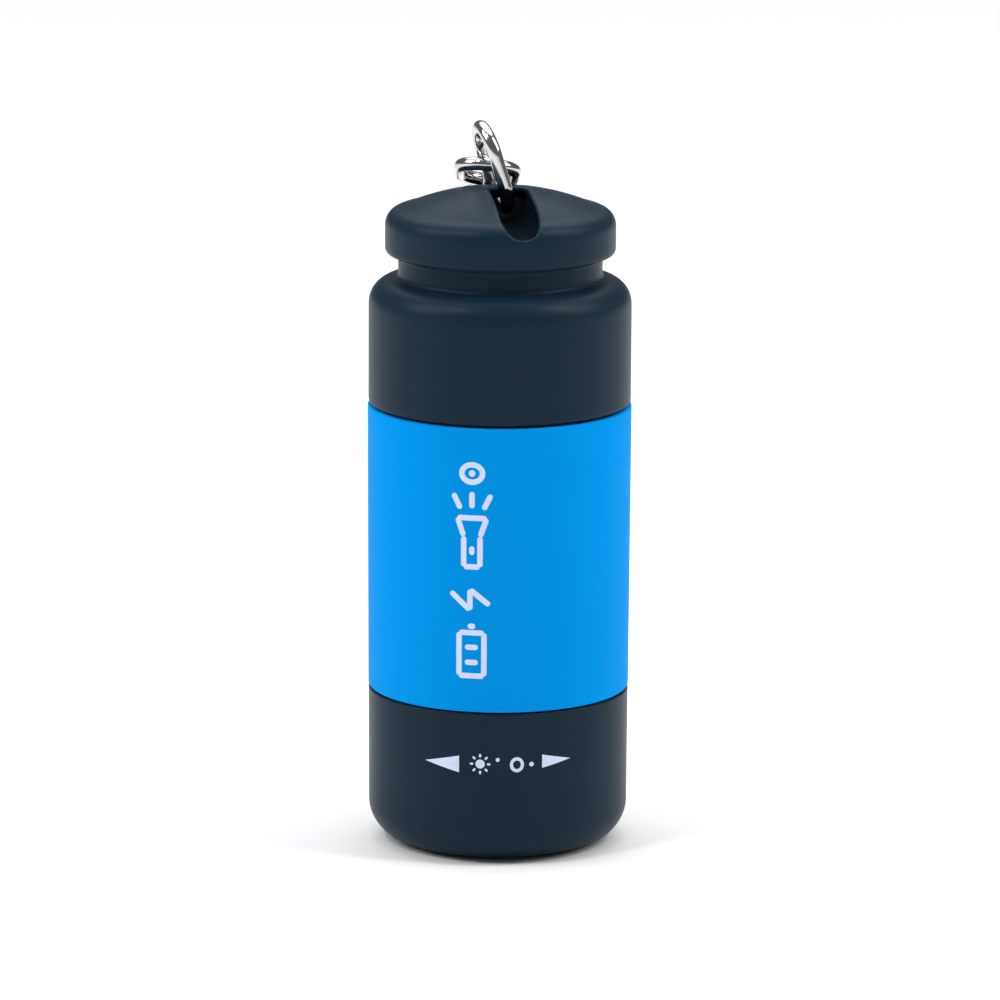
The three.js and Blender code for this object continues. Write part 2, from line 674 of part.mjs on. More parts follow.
// Key ring: flat coil of two turns that steps over itself once, hanging behind the body.
const ringTop = new THREE.Vector3(0, RING_DROP, LINK_STRAIGHT + RING_SLACK).applyMatrix4(frame3);
const ringStep = 2 * Math.PI * RING_STEP_ARC;
const coil = new Path((t) => {
  const a = -ringStep / 2 + 2 * Math.PI * RING_TURNS * t;
  const over = THREE.MathUtils.smoothstep(a, 2 * Math.PI - ringStep, 2 * Math.PI);
  const y = RING_PITCH * (over - 0.5);
  return new THREE.Vector3(RING_RADIUS * Math.sin(a), y, RING_RADIUS * Math.cos(a));
});
const ringFrame = new THREE.Matrix4()
  .makeTranslation(ringTop.x, ringTop.y, ringTop.z)
  .multiply(new THREE.Matrix4().makeRotationX(RING_TILT))
  .multiply(new THREE.Matrix4().makeTranslation(0, 0, -RING_RADIUS))
  .multiply(new THREE.Matrix4().makeRotationY(Math.PI));
place("split_ring", wire(coil, RING_WIRE, RING_STEPS, LINK_FACETS, ringFrame), "chrome");

export default root;
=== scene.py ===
import math

import bmesh
import bpy
import numpy as np
from mathutils import Matrix, Vector


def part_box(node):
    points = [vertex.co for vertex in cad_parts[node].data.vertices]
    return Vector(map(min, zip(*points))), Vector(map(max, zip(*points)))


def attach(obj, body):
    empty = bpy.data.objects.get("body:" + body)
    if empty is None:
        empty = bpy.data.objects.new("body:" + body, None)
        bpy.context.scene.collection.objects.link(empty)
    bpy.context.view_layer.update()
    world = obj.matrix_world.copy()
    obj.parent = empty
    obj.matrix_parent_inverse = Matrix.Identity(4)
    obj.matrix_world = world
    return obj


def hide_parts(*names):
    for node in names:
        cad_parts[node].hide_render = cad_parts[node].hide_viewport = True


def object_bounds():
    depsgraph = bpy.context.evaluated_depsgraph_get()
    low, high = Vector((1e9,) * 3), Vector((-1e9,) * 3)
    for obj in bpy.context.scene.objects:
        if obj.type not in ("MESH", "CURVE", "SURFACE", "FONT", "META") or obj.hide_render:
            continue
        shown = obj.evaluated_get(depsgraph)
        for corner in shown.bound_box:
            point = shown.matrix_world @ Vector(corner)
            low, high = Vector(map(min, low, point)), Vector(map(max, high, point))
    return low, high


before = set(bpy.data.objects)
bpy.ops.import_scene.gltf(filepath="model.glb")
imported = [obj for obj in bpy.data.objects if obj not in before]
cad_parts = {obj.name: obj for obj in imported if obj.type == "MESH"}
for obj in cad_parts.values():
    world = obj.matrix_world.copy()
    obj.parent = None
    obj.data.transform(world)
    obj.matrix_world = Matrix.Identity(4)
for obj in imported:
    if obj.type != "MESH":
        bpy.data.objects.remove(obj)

cad_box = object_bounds()
MM = 0.001


# ---------------------------------------------------------------------------------------------
# Battery housing: the black moulded tube that everything is built on. Each end is a thin spigot
# with a two-start screw thread, the lower one for the lamp head and the upper one for the cap.

class Signal:
    """A shader socket that does arithmetic: each operator adds a Math node fed by it."""

    def __init__(self, socket):
        self.socket = socket
        self.tree = socket.id_data

    def node(self, kind, settings=None, sockets=None, output=0):
        """Adds a node, sets its settings and then the values or links of its sockets."""
        made = self.tree.nodes.new(kind)
        for key, value in (settings or {}).items():
            setattr(made, key, value)
        for key, value in (sockets or {}).items():
            if isinstance(value, Signal):
                self.tree.links.new(value.socket, made.inputs[key])
            else:
                made.inputs[key].default_value = value
        return Signal(made.outputs[output])

    def math(self, operation, first, second=0.0):
        """One Math node on two values or signals."""
        return self.node("ShaderNodeMath", {"operation": operation}, {0: first, 1: second})

    def mix(self, low, high):
        """A colour between two colours, as this signal goes from 0 to 1."""
        blend = {"data_type": "RGBA"}
        return self.node("ShaderNodeMix", blend, {0: self, 6: low, 7: high}, 2)

    def __add__(self, other):
        return self.math("ADD", self, other)

    def __sub__(self, other):
        return self.math("SUBTRACT", self, other)

    def __rsub__(self, other):
        return self.math("SUBTRACT", other, self)

    def __mul__(self, other):
        return self.math("MULTIPLY", self, other)

    def __gt__(self, other):
        return self.math("GREATER_THAN", self, other)

    __radd__ = __add__
    __rmul__ = __mul__


def new_finish(name, **constants):
    """A material with its shader's constants set. Gives it, its shader and its Object coordinates."""
    material = bpy.data.materials.new(name)
    material.use_nodes = True
    shader = material.node_tree.nodes["Principled BSDF"]
    for socket, value in constants.items():
        shader.inputs[socket.replace("_", " ")].default_value = value
    coordinates = material.node_tree.nodes.new("ShaderNodeTexCoord")
    return material, shader, Signal(coordinates.outputs["Object"])


def feed(shader, **signals):
    """Links signals to the shader's sockets of the same names."""
    for socket, signal in signals.items():
        shader.id_data.links.new(signal.socket, shader.inputs[socket.replace("_", " ")])


def speckle(place, size, detail=2.0, stretch=(1, 1, 1)):
    """Soft noise from 0 to 1 whose lumps are about the given size in millimetres."""
    turned_place = place.node("ShaderNodeMapping", None, {"Vector": place, "Scale": stretch})
    sockets = {"Vector": turned_place, "Scale": 1 / (size * MM), "Detail": detail}
    return place.node("ShaderNodeTexNoise", None, sockets)


def relief(place, height, depth):
    """A normal bent by a height from 0 to 1 that stands for a depth in millimetres."""
    return place.node("ShaderNodeBump", None, {"Strength": 1.0, "Distance": depth * MM, "Height": height})


def moulded(name, colour, light, roughness, spread, grain, depth, **constants):
    """Moulded plastic: cloudy between two close colours, with a fine spark-eroded grain in relief."""
    material, shader, place = new_finish(name, **constants)
    clouds = speckle(place, 6.0, 3.0)
    fine = speckle(place, grain, 2.0)
    feed(
        shader,
        Base_Color=(clouds * 0.7 + fine * 0.3).mix(colour, light),
        Roughness=fine * spread + (roughness - spread / 2),
        Normal=relief(place, fine, depth),
    )
    return material


def net(rows, columns, rows_close=True, columns_close=True):
    """Quads over points stored row by row, each between two neighbours along and two across."""
    i = np.arange(rows if rows_close else rows - 1)[:, None]
    j = np.arange(columns if columns_close else columns - 1)[None, :]
    across = (j + 1) % columns
    below = (i + 1) % rows
    quads = [i * columns + j, i * columns + across, below * columns + across, below * columns + j]
    return np.stack(np.broadcast_arrays(*quads), -1).reshape(-1, 4)


def rounded(corners, steps=6):
    """An outline from corners (radius, height, bend): each bend over 0 becomes an arc that touches
    the corner's two sides, its middle on their half-angle line at bend / sin(half angle)."""
    spots = np.array([corner[:2] for corner in corners], float)
    outline = []
    for k, (radius, height, bend) in enumerate(corners):
        spot = spots[k]
        if bend == 0:
            outline.append(spot[None])
            continue
        back = spots[k - 1] - spot
        on = spots[(k + 1) % len(spots)] - spot
        back /= np.linalg.norm(back)
        on /= np.linalg.norm(on)
        half = math.acos(np.clip(back @ on, -1, 1)) / 2
        middle = spot + (back + on) / np.linalg.norm(back + on) * bend / math.sin(half)
        first = spot + back * bend / math.tan(half) - middle
        last = spot + on * bend / math.tan(half) - middle
        turn = math.atan2(first[0] * last[1] - first[1] * last[0], first @ last)
        a = math.atan2(first[1], first[0]) + turn * np.linspace(0, 1, steps + 1)
        outline.append(middle + bend * np.stack([np.cos(a), np.sin(a)], 1))
    return np.concatenate(outline)


def turned(outline, facets=192):
    """An outline of (radius, height) carried round Z: x = radius cos a, y = radius sin a. It closes on
    itself, or on the axis where both its ends have no radius."""
    r, z = np.asarray(outline, float).T
    a = np.linspace(0, 2 * np.pi, facets, endpoint=False)[:, None]
    points = np.stack([np.cos(a) * r, np.sin(a) * r, np.broadcast_to(z, (facets, len(z)))], -1)
    on_axis = r[0] == 0 and r[-1] == 0
    return points.reshape(-1, 3), net(facets, len(r), columns_close=not on_axis)


def swept(path, radius, side, sides=16, closed=False, flat=1.0):
    """A wire along a path: at each point a ring of the given radius in the plane across the path, laid
    out from the side direction. An open wire ends in a small flat."""
    path = np.asarray(path, float)
    along = np.roll(path, -1, 0) - np.roll(path, 1, 0) if closed else np.gradient(path, axis=0)
    along /= np.linalg.norm(along, axis=1)[:, None]
    first = np.cross(along, side)
    first /= np.linalg.norm(first, axis=1)[:, None]
    second = np.cross(along, first)
    thick = np.broadcast_to(radius, len(path)).astype(float).copy()
    if not closed:
        path = np.concatenate([path[:1], path, path[-1:]])
        first = np.concatenate([first[:1], first, first[-1:]])
        second = np.concatenate([second[:1], second, second[-1:]])
        thick = np.concatenate([[0], thick, [0]])
    a = np.linspace(0, 2 * np.pi, sides, endpoint=False)[None, :, None]
    across = first[:, None] * np.cos(a) + second[:, None] * np.sin(a) * flat
    points = path[:, None] + thick[:, None, None] * across
    return points.reshape(-1, 3), net(len(path), sides, rows_close=closed)


def together(*shells):
    """Several shells as one: their points one after another, and their quads renumbered."""
    starts = np.cumsum([0] + [len(points) for points, quads in shells[:-1]])
    points = np.concatenate([points for points, quads in shells])
    return points, np.concatenate([quads + start for start, (_, quads) in zip(starts, shells)])


def piece(name, shell, finish, body, stands_for=(), sharp=40):
    """A named object from a shell in millimetres, welded, facing out, with its finish and its body."""
    points, quads = shell
    mesh = bpy.data.meshes.new(name)
    mesh.from_pydata((points * MM).tolist(), [], quads.tolist())
    made = bmesh.new()
    made.from_mesh(mesh)
    bmesh.ops.remove_doubles(made, verts=made.verts, dist=1e-7)
    bmesh.ops.recalc_face_normals(made, faces=made.faces)
    made.to_mesh(mesh)
    made.free()
    mesh.shade_smooth()
    mesh.set_sharp_from_angle(angle=math.radians(sharp))
    mesh.materials.append(finish)
    made_object = bpy.data.objects.new(name, mesh)
    bpy.context.scene.collection.objects.link(made_object)
    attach(made_object, body)
    if stands_for:
        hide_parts(*stands_for)
    return made_object


def corners(node):
    """A node's lowest and highest corners in millimetres."""
    low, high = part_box(node)
    return np.array(low) / MM, np.array(high) / MM


def reach(node):
    """A round node's radius, lowest and highest height in millimetres."""
    low, high = corners(node)
    return high[1], low[2], high[2]


def ridges(radius, proud, low, turns, lead, first, inward=1):
    """Two thread ridges half a turn apart: each climbs its helix, z = low + lead a / 2 pi, and tapers
    away over its first and last fifth."""
    t = np.linspace(0, 1, 90)
    taper = np.clip(np.minimum(t, 1 - t) * 5, 0.05, 1) ** 0.5
    shells = []
    for start in (first, first + math.pi):
        a = start + 2 * math.pi * turns * t
        middle = radius - inward * proud * (1 - taper)
        path = np.stack([middle * np.cos(a), middle * np.sin(a), low + lead * turns * t], 1)
        shells.append(swept(path, proud * 2 * taper, (0, 0, 1), 12))
    return together(*shells)


LEAD = 3.0
RIDGE_TURNS = 0.42
RIDGE_PROUD = 0.2
HALF_PITCH = LEAD / 4
EDGE = 0.15
housing_radius, housing_low, housing_high = reach("battery_housing")
sleeve_radius, sleeve_low, sleeve_high = reach("grip_sleeve")
spigot_radius = 9.6
spigot_bore = 8.5
housing_bore = housing_radius - 2.2
step_low = sleeve_low + 0.075
step_high = sleeve_high - 0.075
lower_ridge = housing_low + 1
upper_ridge = step_high + 1.45

housing_shell = turned(rounded([
    (spigot_bore, housing_low, EDGE),
    (spigot_radius, housing_low, EDGE),
    (spigot_radius, step_low, EDGE),
    (housing_radius, step_low, EDGE),
    (housing_radius, step_high, EDGE),
    (spigot_radius, step_high, EDGE),
    (spigot_radius, housing_high, EDGE),
    (spigot_bore, housing_high, EDGE),
    (spigot_bore, step_high - 2.2, 0),
    (housing_bore, step_high - 2.2, 0),
    (housing_bore, step_low + 2.2, 0),
    (spigot_bore, step_low + 2.2, 0),
]))
housing_plastic = moulded(
    "housing plastic", (0.012, 0.013, 0.015, 1), (0.02, 0.021, 0.024, 1), 0.42, 0.12, 0.12, 0.004
)
piece(
    "battery_housing_shell",
    together(
        housing_shell,
        ridges(spigot_radius + RIDGE_PROUD, RIDGE_PROUD, lower_ridge, RIDGE_TURNS, LEAD, 0),
        ridges(spigot_radius + RIDGE_PROUD, RIDGE_PROUD, upper_ridge, RIDGE_TURNS, LEAD, 0),
    ),
    housing_plastic,
    "body",
    ["battery_housing"],
)


# ---------------------------------------------------------------------------------------------
# Lithium cell: a drawn steel can in green shrink film, with its button left bare. A nickel strip is
# spot-welded to each end, and a lead goes from the lamp's contact board to the charging board.

def film(name, colour, light, roughness, **constants):
    """Thin glossy skin: faint clouds of colour, and a ripple in relief where it has shrunk."""
    material, shader, place = new_finish(name, **constants)
    ripple = speckle(place, 2.2, 2.0, (1, 1, 0.3))
    feed(
        shader,
        Base_Color=ripple.mix(colour, light),
        Roughness=ripple * 0.1 + roughness,
        Normal=relief(place, ripple, 0.02),
    )
    return material


def polished(name, colour, roughness, spread, streak, depth, stretch=(1, 1, 1), **constants):
    """Bright metal: a finish that wanders a little in roughness, with hairline marks in relief."""
    material, shader, place = new_finish(name, Metallic=1.0, **constants)
    haze = speckle(place, 2.5, 3.0)
    hair = speckle(place, streak, 2.0, stretch)
    feed(
        shader,
        Base_Color=haze.mix(colour, tuple(0.9 * part for part in colour[:3]) + (1,)),
        Roughness=haze * spread + roughness,
        Normal=relief(place, hair, depth),
    )
    return material


cell_film = film("cell film", (0.028, 0.19, 0.1, 1), (0.04, 0.23, 0.125, 1), 0.28)
plug_steel = polished("plated steel", (0.6, 0.6, 0.6, 1), 0.24, 0.12, 0.12, 0.002, (1, 1, 0.1))
CELL_BEND = 0.45
CELL_BUTTON = 1.6
BUTTON_TALL = 0.6
cell_radius, cell_low, cell_high = reach("battery_cell")
can_top = cell_high - BUTTON_TALL
piece(
    "battery_cell_can",
    turned(rounded([
        (0, cell_low, 0),
        (cell_radius, cell_low, CELL_BEND),
        (cell_radius, can_top, CELL_BEND),
        (CELL_BUTTON + 0.8, can_top, 0.1),
        (CELL_BUTTON + 0.6, can_top - 0.15, 0.05),
        (0, can_top - 0.15, 0),
    ])),
    cell_film,
    "body",
    ["battery_cell"],
)
piece(
    "battery_cell_button",
    turned(rounded([
        (0, can_top - 0.3, 0),
        (CELL_BUTTON, can_top - 0.3, 0.05),
        (CELL_BUTTON, cell_high, 0.2),
        (0, cell_high, 0),
    ]), 64),
    plug_steel,
    "body",
)


def dressed(finish, *nodes):
    """Gives CAD nodes a finish in place of their plain one."""
    for node in nodes:
        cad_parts[node].data.materials.clear()
        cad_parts[node].data.materials.append(finish)


dressed(plug_steel, "battery_tab_positive", "battery_tab_negative")
LEAD_BOW = 0.08
red_skin = film("red insulation", (0.4, 0.018, 0.012, 1), (0.5, 0.028, 0.018, 1), 0.42)
black_skin = film("black insulation", (0.012, 0.012, 0.013, 1), (0.02, 0.02, 0.022, 1), 0.42)
bow = np.sin(math.pi * np.linspace(0, 1, 40))
for lead_node, skin, skin_slot in (
    ("lead_red", red_skin, "red_insulation"), ("lead_black", black_skin, "black_insulation")
):
    low, high = corners(lead_node)
    side = np.sign(low[1])
    wire_radius = (high[0] - low[0]) / 2
    inmost = side * (min(abs(low[1]), abs(high[1])) + wire_radius)
    lead_path = np.stack([
        np.full_like(bow, (low[0] + high[0]) / 2),
        inmost * (1 + LEAD_BOW * bow),
        np.linspace(low[2], high[2], 40),
    ], 1)
    piece(f"{lead_node}_wire", swept(lead_path, wire_radius, (1, 0, 0)), skin, "body", [lead_node])


# ---------------------------------------------------------------------------------------------
# Circuit boards: discs of glass laminate under green mask. The upper one carries the charging chip,
# its signal lamp and two resistors, and the lower one a brass pad that the lamp's spring presses.

board, board_shader, board_place = new_finish("board mask", Coat_Weight=0.3)
runs = board_place.node(
    "ShaderNodeTexBrick", {"offset": 0.37, "squash": 1.6},
    {
        "Vector": board_place, "Scale": 420.0, "Mortar Size": 0.03,
        "Color1": (1, 1, 1, 1), "Color2": (1, 1, 1, 1), "Mortar": (0, 0, 0, 1),
    },
)
mask_clouds = speckle(board_place, 1.5)
feed(
    board_shader,
    Base_Color=(runs * 0.7 + mask_clouds * 0.3).mix((0.022, 0.2, 0.075, 1), (0.01, 0.13, 0.045, 1)),
    Roughness=mask_clouds * 0.15 + 0.35,
    Normal=relief(board_place, runs, 0.03),
)
chip_black = moulded("chip epoxy", (0.012, 0.012, 0.013, 1), (0.02, 0.02, 0.022, 1), 0.6, 0.1, 0.1, 0.003)
brass = polished("brass", (0.72, 0.47, 0.16, 1), 0.2, 0.12, 0.1, 0.002)
dressed(board, "charge_board", "contact_board")
dressed(chip_black, "charge_chip", "resistor_1", "resistor_2")
dressed(red_skin, "charge_led")
dressed(brass, "contact_pad")


# ---------------------------------------------------------------------------------------------
# USB plug: a folded shell of plated steel with two latch windows in each broad side, round a white
# tongue with four gilt contacts. It stands in a dark collar pressed into the upper spigot.

def rounded_box(width, depth, bend, steps=8):
    """A rectangle's outline about the origin, its corners rounded, counter-clockwise."""
    x, y = width / 2, depth / 2
    return rounded([(x, y, bend), (-x, y, bend), (-x, -y, bend), (x, -y, bend)], steps)


def layered(levels):
    """A shell through closed outlines stacked in height, each (outline, height), all with as many
    points. It closes on itself from the last level to the first."""
    points = [np.column_stack([outline, np.full(len(outline), height)]) for outline, height in levels]
    return np.concatenate(points), net(len(levels), len(levels[0][0]))


def bar(width, depth, low, high, bend, edge, middle=(0, 0)):
    """A rounded rectangular bar, its top and bottom edges broken and its ends closed on a point."""
    full = rounded_box(width, depth, bend)
    inner = rounded_box(width - 2 * edge, depth - 2 * edge, max(bend - edge, 0.01))
    dot = full * 0
    levels = [(dot, low), (inner, low), (full, low + edge), (full, high - edge), (inner, high), (dot, high)]
    points = [np.column_stack([outline + middle, np.full(len(outline), z)]) for outline, z in levels]
    return np.concatenate(points), net(len(levels), len(full), rows_close=False)


def holed_disc(radius, width, depth, bend, low, high, edge):
    """A disc with a rounded rectangular hole: its outlines run from the hole's edge to the rim."""
    hole = rounded_box(width, depth, bend, 24)
    a = np.arctan2(hole[:, 1], hole[:, 0])
    rim = np.stack([np.cos(a), np.sin(a)], 1)
    wide = rounded_box(width + 2 * edge, depth + 2 * edge, bend + edge, 24)
    return layered([
        (hole, low + edge), (hole, high - edge), (wide, high), (rim * (radius - edge), high),
        (rim * radius, high - edge), (rim * radius, low + edge), (rim * (radius - edge), low), (wide, low),
    ])


PLUG_WALL = 0.35
PLUG_BEND = 0.7
PLUG_EDGE = 0.12
WINDOW = 2.1
WINDOW_OFFSET = 2.5
WINDOW_FROM_TIP = 4.0
collar_radius, collar_low, collar_high = reach("usb_collar")
(*_, plug_low), (plug_right, plug_back, plug_high) = corners("usb_shell")
plug_wide, plug_deep = 2 * plug_right, 2 * plug_back
dark_plastic = moulded(
    "slate plastic", (0.0066, 0.0188, 0.0335, 1), (0.0080, 0.0214, 0.0370, 1), 0.38, 0.1, 0.16, 0.004,
    Specular_IOR_Level=0.08,
)
piece(
    "usb_collar_disc",
    holed_disc(
        collar_radius, plug_wide + 0.2, plug_deep + 0.2, PLUG_BEND + 0.1, collar_low, collar_high, 0.15
    ),
    dark_plastic,
    "body",
    ["usb_collar"],
)


def bare(name, shell):
    """An unfinished object from a shell in millimetres, welded and facing out."""
    points, quads = shell
    mesh = bpy.data.meshes.new(name)
    mesh.from_pydata((points * MM).tolist(), [], quads.tolist())
    made = bmesh.new()
    made.from_mesh(mesh)
    bmesh.ops.remove_doubles(made, verts=made.verts, dist=1e-7)
    bmesh.ops.recalc_face_normals(made, faces=made.faces)
    made.to_mesh(mesh)
    made.free()
    shape = bpy.data.objects.new(name, mesh)
    bpy.context.scene.collection.objects.link(shape)
    return shape


def cut(blank, tool):
    """Takes the tool's shape out of the blank and removes the tool."""
    taking = blank.modifiers.new("cut", "BOOLEAN")
    taking.object = tool
    taking.solver = "EXACT"
    ready = blank.evaluated_get(bpy.context.evaluated_depsgraph_get())
    blank.data = bpy.data.meshes.new_from_object(ready)
    blank.modifiers.clear()
    bpy.data.objects.remove(tool)


def softened(shape, width, sharp):
    """Rounds a cut shape's edges that are sharper than an angle, as a mould's edges are broken."""
    shape.data.shade_smooth()
    shape.data.set_sharp_from_angle(angle=math.radians(sharp))
    soft_edge = shape.modifiers.new("soft edge", "BEVEL")
    soft_edge.width = width * MM
    soft_edge.segments = 3
    soft_edge.limit_method = "ANGLE"
    soft_edge.angle_limit = math.radians(sharp)
    soft_edge.harden_normals = True


def plug_outline(inset):
    """The plug's outline, drawn in by an inset."""
    return rounded_box(plug_wide - 2 * inset, plug_deep - 2 * inset, PLUG_BEND - inset)


plug_shell = piece(
    "usb_shell_folded",
    layered([
        (plug_outline(0), plug_low),
        (plug_outline(0), plug_high - PLUG_EDGE),
        (plug_outline(PLUG_EDGE), plug_high),
        (plug_outline(PLUG_WALL - PLUG_EDGE), plug_high),
        (plug_outline(PLUG_WALL), plug_high - PLUG_EDGE),
        (plug_outline(PLUG_WALL), plug_low),
    ]),
    plug_steel,
    "body",
    ["usb_shell"],
)
for side in (-1, 1):
    window_low = plug_high - WINDOW_FROM_TIP - WINDOW
    window = bar(WINDOW, 2 * plug_deep, window_low, window_low + WINDOW, 0.1, 0.01, (side * WINDOW_OFFSET, 0))
    cut(plug_shell, bare("window", window))
softened(plug_shell, 0.04, 50)
white_plastic = moulded("white plastic", (0.78, 0.77, 0.72, 1), (0.84, 0.83, 0.78, 1), 0.45, 0.1, 0.1, 0.003)
(tongue_x, tongue_y, tongue_low), (tongue_right, tongue_front, tongue_high) = corners("usb_tongue")
piece(
    "usb_tongue_moulding",
    bar(
        tongue_right - tongue_x, tongue_front - tongue_y, tongue_low, tongue_high, 0.25, 0.2,
        ((tongue_right + tongue_x) / 2, (tongue_front + tongue_y) / 2),
    ),
    white_plastic,
    "body",
    ["usb_tongue"],
)
for number in range(1, 5):
    low, high = corners(f"usb_contact_{number}")
    size = high - low
    piece(
        f"usb_contact_{number}_strip",
        bar(size[0], size[1], low[2], high[2], 0.06, 0.05, ((low + high) / 2)[:2]),
        brass,
        "body",
        [f"usb_contact_{number}"],
    )


# ---------------------------------------------------------------------------------------------
# Seal rings: black rubber O-rings that lie on the spigots below their threads, one for each end.

rubber = moulded("seal rubber", (0.01, 0.01, 0.011, 1), (0.017, 0.017, 0.018, 1), 0.72, 0.12, 0.08, 0.004)
section = np.linspace(0, 2 * math.pi, 24, endpoint=False)
for seal_node, seal_body in (("head_seal", "lower_seal"), ("cap_seal", "upper_seal")):
    seal_radius, seal_low, seal_high = reach(seal_node)
    seal_wire = (seal_high - seal_low) / 2
    seal_section = np.stack([
        seal_radius - seal_wire + seal_wire * np.cos(section), seal_low + seal_wire * (1 + np.sin(section))
    ], 1)
    piece(f"{seal_node}_ring", turned(seal_section), rubber, seal_body, [seal_node])


# ---------------------------------------------------------------------------------------------
# Grip sleeve: a thin tube of soft-touch blue plastic pushed over the housing, with very fine grain
# and softly broken edges. A row of white pad-printed marks runs up its front.

blue_plastic = moulded(
    "blue soft plastic", (0.0001, 0.262, 0.72, 1), (0.0002, 0.282, 0.75, 1), 0.55, 0.1, 0.1, 0.003,
    Specular_IOR_Level=0.012,
)
SLEEVE_FOOT = 11.95
SLEEVE_WALL = 1.15
SLEEVE_EDGE = 0.16
sleeve_bore = SLEEVE_FOOT - SLEEVE_WALL
piece(
    "grip_sleeve_tube",
    turned(rounded([
        (sleeve_bore, sleeve_low, SLEEVE_EDGE),
        (SLEEVE_FOOT, sleeve_low, SLEEVE_EDGE),
        (sleeve_radius, sleeve_high, SLEEVE_EDGE),
        (sleeve_bore, sleeve_high, SLEEVE_EDGE),
    ]), 256),
    blue_plastic,
    "body",
    ["grip_sleeve"],
)


def wrapped(flat, radius, height):
    """Lays points (across, up) on a cylinder's front, at a height over its radius: the angle from the
    front is across / radius."""
    across, up = flat[..., 0], flat[..., 1]
    a = across / radius - math.pi / 2
    return np.stack([(radius + height) * np.cos(a), (radius + height) * np.sin(a), up + 0 * a], -1)


def inked(upper, lower, radius):
    """A thin film of ink between an upper and a lower edge, both (across, up) point by point."""
    edges = [(lower, -INK_SUNK), (upper, -INK_SUNK), (upper, INK_PROUD), (lower, INK_PROUD)]
    points = np.stack([wrapped(edge, radius, height) for edge, height in edges], 1)
    return points.reshape(-1, 3), net(len(upper), 4, rows_close=False)


def stroke(path, width, radius):
    """A printed line of a width along a path of (across, up) points, with round ends: the half-width
    falls as a quarter circle over the last half-width of the path."""
    path = np.asarray(path, float)
    lengths = np.linalg.norm(np.diff(path, axis=0), axis=1)
    gone = np.concatenate([[0], np.cumsum(lengths)])
    half = width / 2
    end = half * (1 - np.cos(np.linspace(0, math.pi / 2, 8)))
    between = np.linspace(half, gone[-1] - half, 2 + 4 * len(path))[1:-1]
    t = np.concatenate([end, between, gone[-1] - end[::-1]])
    line = np.stack([np.interp(t, gone, path[:, k]) for k in (0, 1)], 1)
    along = np.gradient(line, t, axis=0)
    along /= np.linalg.norm(along, axis=1)[:, None]
    aside = np.stack([-along[:, 1], along[:, 0]], 1)
    near_end = np.minimum(t, gone[-1] - t)
    reach_out = half * np.sqrt(np.clip(1 - (1 - np.clip(near_end / half, 0, 1)) ** 2, 0, 1))[:, None]
    return inked(line + aside * reach_out, line - aside * reach_out, radius)


def loop(middle, wide, tall, width, radius):
    """A printed oval ring: its outer and inner edges are ovals a line's width apart."""
    a = np.linspace(0, 2 * math.pi, 49)
    unit = np.stack([np.cos(a), np.sin(a)], 1)
    outer = middle + unit * (wide / 2, tall / 2)
    inner = middle + unit * (max(wide / 2 - width, 0.001), max(tall / 2 - width, 0.001))
    return inked(outer, inner, radius)


INK_PROUD = 0.012
INK_SUNK = 0.12
PRINT_WIDTH = 0.5
print_white, print_shader, print_place = new_finish("pad print", Specular_IOR_Level=0.3)
thin = speckle(print_place, 0.5, 3.0)
feed(
    print_shader,
    Base_Color=thin.mix((0.56, 0.64, 0.85, 1), (0.72, 0.77, 0.93, 1)),
    Roughness=thin * 0.15 + 0.45,
    Normal=relief(print_place, thin, 0.003),
)

# The row is drawn as on paper, x along it and y up, then laid up the sleeve with its top to the left.
PRINT_FOOT = -1.3
PRINT_START = 16.75


def along_sleeve(points):
    """Turns a drawn point (x, y) a quarter turn to run up the sleeve: across = foot - y, up = start + x."""
    points = np.asarray(points, float)
    return np.stack([PRINT_FOOT - points[..., 1], PRINT_START + points[..., 0]], -1)


def sleeve_at(points):
    """The sleeve's radius at the mean height of some (across, up) points on its slight taper."""
    up = np.mean(np.asarray(points)[..., 1])
    return SLEEVE_FOOT + (sleeve_radius - SLEEVE_FOOT) * (up - sleeve_low) / (sleeve_high - sleeve_low)


def sun_ray(x, y, angle, low, high):
    """A short line that points away from a middle."""
    way = np.array([math.cos(angle), math.sin(angle)])
    return np.stack([(x, y) + way * low, (x, y) + way * high])


cell_box = np.array([(0.3, 0.0), (0.3, 2.3), (4.3, 2.3), (4.3, 0.0), (0.3, 0.0)])
bolt = np.array([(8.0, 3.1), (6.4, 1.3), (8.3, 1.3), (6.9, -0.5)])
head_cone = np.array([(13.2, 1.9), (14.9, 2.5), (14.9, -0.2), (13.2, 0.4)])
handle = np.array([(13.2, 0.4), (10.4, 0.4), (10.4, 1.9), (13.2, 1.9)])
button_middle = along_sleeve((19.0, 1.15))
drawn_lines = [
    *[cell_box[k:k + 2] for k in range(4)],
    [(4.9, 0.8), (4.9, 1.5)],
    [(1.55, 0.55), (1.55, 1.75)],
    [(2.95, 0.55), (2.95, 1.75)],
    *[bolt[k:k + 2] for k in range(3)],
    *[head_cone[k:k + 2] for k in range(3)],
    *[handle[k:k + 2] for k in range(3)],
    [(11.5, 1.15), (12.3, 1.15)],
    [(15.8, 1.15), (17.3, 1.15)],
    [(15.7, 2.2), (17.1, 2.9)],
    [(15.7, 0.1), (17.1, -0.6)],
]
piece(
    "sleeve_print",
    together(
        *[stroke(line, PRINT_WIDTH, sleeve_at(line)) for line in map(along_sleeve, drawn_lines)],
        loop(button_middle, 2.4, 2.1, PRINT_WIDTH, sleeve_at(button_middle)),
        loop(button_middle, 0.6, 0.6, 0.3, sleeve_at(button_middle)),
    ),
    print_white,
    "body",
)


# ---------------------------------------------------------------------------------------------
# Lamp: a white board with a surface-mounted diode under a clear dome, and a brass cone spring behind
# it that meets the body's pad while the head is screwed home.

